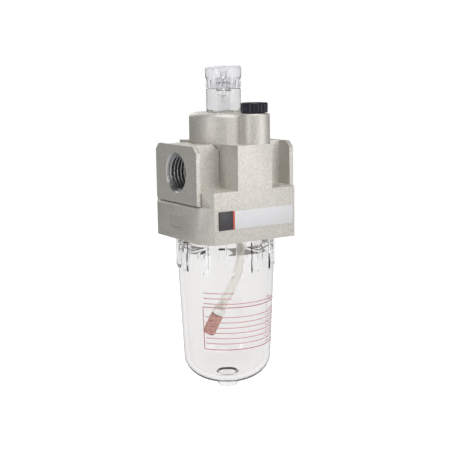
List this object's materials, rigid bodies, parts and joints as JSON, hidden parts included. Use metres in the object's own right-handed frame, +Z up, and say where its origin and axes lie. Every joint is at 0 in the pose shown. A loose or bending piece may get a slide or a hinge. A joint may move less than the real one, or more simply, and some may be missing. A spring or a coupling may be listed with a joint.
{
  "type": "air line lubricator",
  "caption": "Air-line oil-mist lubricator: die-cast body with two threaded ports, clear screw-on bowl, sight dome with adjusting knob, filler plug and siphon tube.",
  "frame": {"origin": "centre of the port axis, midway between the two port faces and straight above the bowl", "axes": "+X along the ports from inlet to outlet, +Z up along the bowl axis, -Y the front with the nameplate"},
  "size_m": [0.04, 0.0394, 0.1161],
  "materials": {
    "cast_paint": "satin warm-grey metallic paint",
    "white_print": "printed plate",
    "clear_plastic": "clear polycarbonate",
    "black_rubber": "matte",
    "white_plastic": "satin",
    "black_plastic": "satin",
    "steel": "plain",
    "brass": "plain",
    "cream_tube": "translucent",
    "sintered_bronze": "rough sintered bronze"
  },
  "bodies": {
    "body": {"body_casting": "cast_paint", "port_block_left": "cast_paint", "port_block_right": "cast_paint", "nameplate": "white_print", "sight_dome": "clear_plastic", "dome_gasket": "black_rubber", "drip_nozzle": "white_plastic", "damper_retainer": "white_plastic", "retainer_seal": "black_rubber", "retainer_screw_left": "steel", "retainer_screw_right": "steel", "check_seat": "brass", "tube_fitting": "white_plastic", "siphon_tube": "cream_tube", "strainer_holder": "white_plastic", "strainer": "sintered_bronze"},
    "knob_lift": {"needle_o_ring": "black_rubber"},
    "knob": {"adjusting_knob": "clear_plastic", "needle_valve": "white_plastic"},
    "plug_lift": {"filler_plug_o_ring": "black_rubber"},
    "plug": {"filler_plug": "black_plastic"},
    "bowl_drop": {"bowl_o_ring": "black_rubber"},
    "bowl": {"bowl": "clear_plastic"},
    "check_ball": {"check_ball": "steel"},
    "damper_flap": {"damper_flap": "black_rubber"}
  },
  "joints": [
    {"name": "knob_rise", "type": "slide", "parent": "body", "child": "knob_lift", "axis": [0, 0, 1], "range_m": [0, 0.00075]},
    {"name": "knob_turn", "type": "hinge", "parent": "knob_lift", "child": "knob", "pos_m": [0, 0, 0.0323], "axis": [0, 0, 1], "range_deg": [0, 540]},
    {"name": "plug_rise", "type": "slide", "parent": "body", "child": "plug_lift", "axis": [0, 0, 1], "range_m": [0, 0.0075]},
    {"name": "plug_turn", "type": "hinge", "parent": "plug_lift", "child": "plug", "pos_m": [0.00345, -0.0141, 0.02], "axis": [0, 0, 1], "range_deg": [0, 2160]},
    {"name": "bowl_slide", "type": "slide", "parent": "body", "child": "bowl_drop", "axis": [0, 0, -1], "range_m": [0, 0.0075]},
    {"name": "bowl_turn", "type": "hinge", "parent": "bowl_drop", "child": "bowl", "pos_m": [0, 0, -0.05], "axis": [0, 0, -1], "range_deg": [0, 1080]},
    {"name": "ball_lift", "type": "slide", "parent": "body", "child": "check_ball", "axis": [0, 0, 1], "range_m": [0, 0.001]},
    {"name": "flap_swing", "type": "hinge", "parent": "body", "child": "damper_flap", "pos_m": [0, 0, 0.00205], "axis": [0, -1, 0], "range_deg": [0, 65]}
  ],
  "couplings": [
    {"joint": "knob_turn", "follows": "knob_rise", "rad_per_m": 12566},
    {"joint": "plug_turn", "follows": "plug_rise", "rad_per_m": 5026.5},
    {"joint": "bowl_turn", "follows": "bowl_slide", "rad_per_m": 2513.2}
  ]
}
